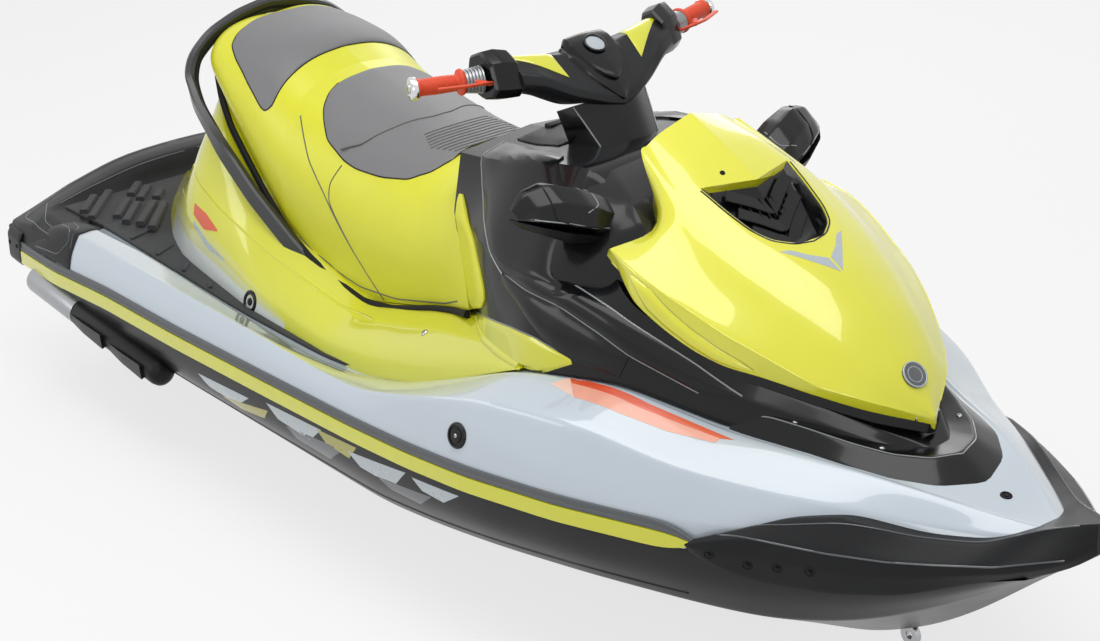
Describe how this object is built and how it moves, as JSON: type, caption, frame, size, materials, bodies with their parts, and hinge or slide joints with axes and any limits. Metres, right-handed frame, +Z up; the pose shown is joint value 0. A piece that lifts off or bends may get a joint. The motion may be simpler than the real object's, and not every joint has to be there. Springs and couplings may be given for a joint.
{
  "type": "personal watercraft",
  "caption": "Sit-astride jet-driven personal watercraft with a stepped seat, raked handlebar, hinged front hood and a tilting reverse bucket.",
  "frame": {"origin": "centre of the craft's outline on the floor it stands on, level with the flat keel pad", "axes": "+X to the bow, +Y to port, +Z up"},
  "size_m": [3.35, 1.22, 1.1896],
  "materials": {
    "hull": "moulded near-black hull, satin gloss",
    "deck": "pale ice-grey gelcoat paint under clear coat",
    "trim": "moulded black plastic, fine grain",
    "lime": "lime-yellow gloss paint",
    "rail": "grey rubbing strip",
    "mat": "dark grey ribbed foam mat",
    "seat": "grey marine vinyl pads on lime-yellow vinyl sides",
    "cowl": "polished black plastic",
    "hood": "bright yellow gloss paint",
    "badge": "dark disc, left blank",
    "steel": "stainless steel",
    "chrome": "bright plating",
    "grip": "orange-red rubber",
    "alloy": "cast aluminium"
  },
  "bodies": {
    "craft": {"hull": "hull", "deck": "deck", "stern_trim": "trim", "side_bands": "lime", "side_rails": "rail", "bow_bumper": "trim", "pedestal": "lime", "footwell_mats": "mat", "platform_mat": "mat", "seat_front": "seat", "seat_rear": "seat", "grab_rail": "trim", "cowl": "cowl", "bow_garnish": "cowl", "hood_hinge": "steel", "column_cover": "trim", "mirrors": "trim", "pump_housing": "alloy", "ride_plate": "alloy", "intake_grate": "alloy", "engine": "alloy", "sponsons": "trim", "sponson_tails": "alloy", "bow_eye": "steel", "stern_eye": "steel"},
    "hood": {"hood": "hood", "scoop_grille": "trim", "hood_badge": "badge"},
    "steering": {"handlebar": "steel", "bar_cover": "trim", "meter": "badge", "grips": "grip", "bar_ends": "chrome", "collars": "chrome", "switch_pods": "trim", "levers": "grip"},
    "impeller": {"impeller": "steel"},
    "nozzle": {"steering_nozzle": "alloy"},
    "bucket": {"reverse_bucket": "alloy"}
  },
  "joints": [
    {"name": "hood_open", "type": "hinge", "parent": "craft", "child": "hood", "pos_m": [1.209, 0, 0.624], "axis": [0, 1, 0], "range_deg": [0, 50]},
    {"name": "steer", "type": "hinge", "parent": "craft", "child": "steering", "pos_m": [0.255, 0, 1], "axis": [-0.4067, 0, 0.9135], "range_deg": [-20, 20]},
    {"name": "nozzle_turn", "type": "hinge", "parent": "craft", "child": "nozzle", "pos_m": [-1.505, 0, 0.15], "axis": [0, 0, 1], "range_deg": [-20, 20]},
    {"name": "bucket_tilt", "type": "hinge", "parent": "nozzle", "child": "bucket", "pos_m": [-1.565, 0, 0.15], "axis": [0, -1, 0], "range_deg": [0, 80]},
    {"name": "impeller_spin", "type": "hinge", "parent": "craft", "child": "impeller", "pos_m": [-1.235, 0, 0.15], "axis": [1, 0, 0], "continuous": true}
  ],
  "couplings": [
    {"joint": "nozzle_turn", "follows": "steer", "ratio": 1}
  ]
}
